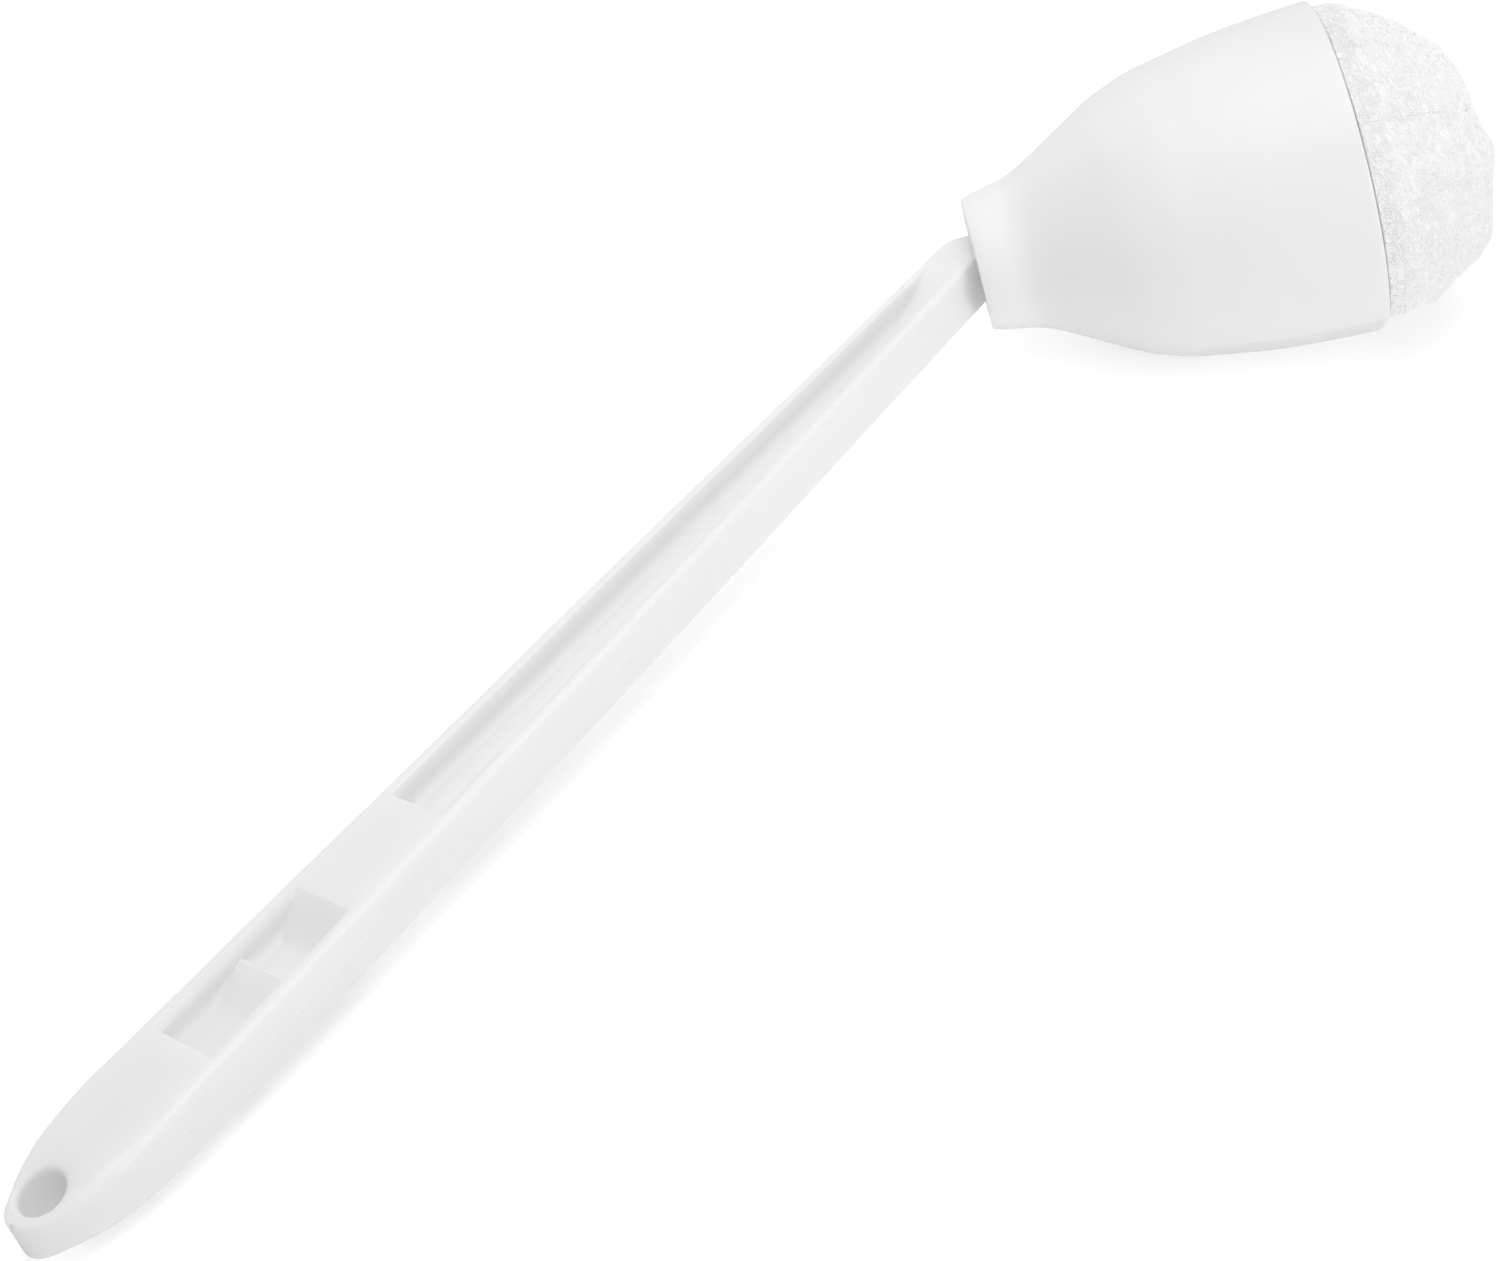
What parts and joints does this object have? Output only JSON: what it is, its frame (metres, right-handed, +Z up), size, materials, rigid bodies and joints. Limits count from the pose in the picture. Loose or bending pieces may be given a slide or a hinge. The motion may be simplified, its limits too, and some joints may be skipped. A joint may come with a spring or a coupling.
{
  "type": "toilet bowl mop",
  "caption": "Toilet bowl mop: a slim moulded handle with a bent stem, a bound yarn head, and a sliding bell-shaped cone that presses the yarn out.",
  "frame": {"origin": "on the surface the mop lies on, at the middle of its bounding box", "axes": "+X along the level direction in which the stem and the yarn head point, +Z up; the mop lies as it comes to rest, on its tail and the side of its cone, with a broad face of the handle up"},
  "size_m": [0.2756, 0.2188, 0.0649],
  "materials": {
    "white_plastic": "semi-gloss, slightly milky white polypropylene",
    "cone_plastic": "semi-gloss, slightly milky white polypropylene",
    "white_yarn": "soft white mop yarn",
    "binding_steel": "plain drawn wire"
  },
  "bodies": {
    "handle_body": {"handle": "white_plastic", "binding_wire": "binding_steel", "yarn_outer_01": "white_yarn", "yarn_outer_02": "white_yarn", "yarn_outer_03": "white_yarn", "yarn_outer_04": "white_yarn", "yarn_outer_05": "white_yarn", "yarn_outer_06": "white_yarn", "yarn_outer_07": "white_yarn", "yarn_outer_08": "white_yarn", "yarn_outer_09": "white_yarn", "yarn_outer_10": "white_yarn", "yarn_outer_11": "white_yarn", "yarn_outer_12": "white_yarn", "yarn_inner_01": "white_yarn", "yarn_inner_02": "white_yarn", "yarn_inner_03": "white_yarn", "yarn_inner_04": "white_yarn", "yarn_inner_05": "white_yarn", "yarn_inner_06": "white_yarn"},
    "cone_body": {"wringer_cone": "cone_plastic"}
  },
  "joints": [
    {"name": "cone_slide", "type": "slide", "parent": "handle_body", "child": "cone_body", "axis": [0.9836, 0, 0.1803], "range_m": [0, 0.0343], "deforming": ["yarn_outer_01", "yarn_outer_02", "yarn_outer_03", "yarn_outer_04", "yarn_outer_05", "yarn_outer_06", "yarn_outer_07", "yarn_outer_08", "yarn_outer_09", "yarn_outer_10", "yarn_outer_11", "yarn_outer_12", "yarn_inner_01", "yarn_inner_02", "yarn_inner_03", "yarn_inner_04", "yarn_inner_05", "yarn_inner_06"]}
  ]
}
